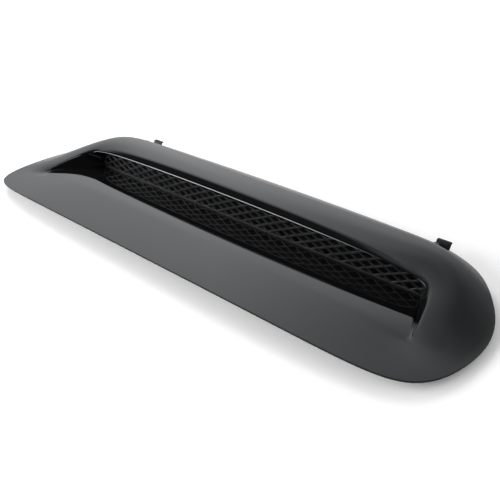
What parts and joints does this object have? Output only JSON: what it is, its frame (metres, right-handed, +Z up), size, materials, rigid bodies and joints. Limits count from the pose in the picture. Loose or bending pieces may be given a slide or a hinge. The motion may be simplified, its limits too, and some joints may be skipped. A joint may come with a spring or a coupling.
{
  "type": "bonnet air vent",
  "caption": "Long oval bonnet vent: smooth gloss shell with a ramp, a wide front mouth, a diamond grille over a dark tray and a rounded hood, with studs and clips below.",
  "frame": {"origin": "middle of the bounding box, at the level of the stud ends", "axes": "+X along the long side, to the right when looking from the front edge to the back; -Y to the front, where the ramp and the mouth open; +Z up"},
  "size_m": [0.85, 0.3011, 0.0601],
  "materials": {
    "gloss_black_abs": "gloss",
    "black_abs_grille": "satin",
    "zinc_steel": "zinc plated",
    "black_steel": "black coated"
  },
  "bodies": {
    "root": {"cover_shell": "gloss_black_abs", "grille_panel": "black_abs_grille", "grille_backing": "black_abs_grille", "stud_front_left": "zinc_steel", "stud_front_right": "zinc_steel", "stud_rear_left": "zinc_steel", "stud_rear_right": "zinc_steel", "grille_screw_1": "black_steel", "grille_screw_2": "black_steel", "grille_screw_3": "black_steel", "grille_screw_4": "black_steel", "grille_screw_5": "black_steel", "grille_screw_6": "black_steel", "clip_screw_left": "black_steel", "clip_screw_right": "black_steel", "rear_clip_left": "black_steel", "rear_clip_right": "black_steel"}
  },
  "joints": []
}
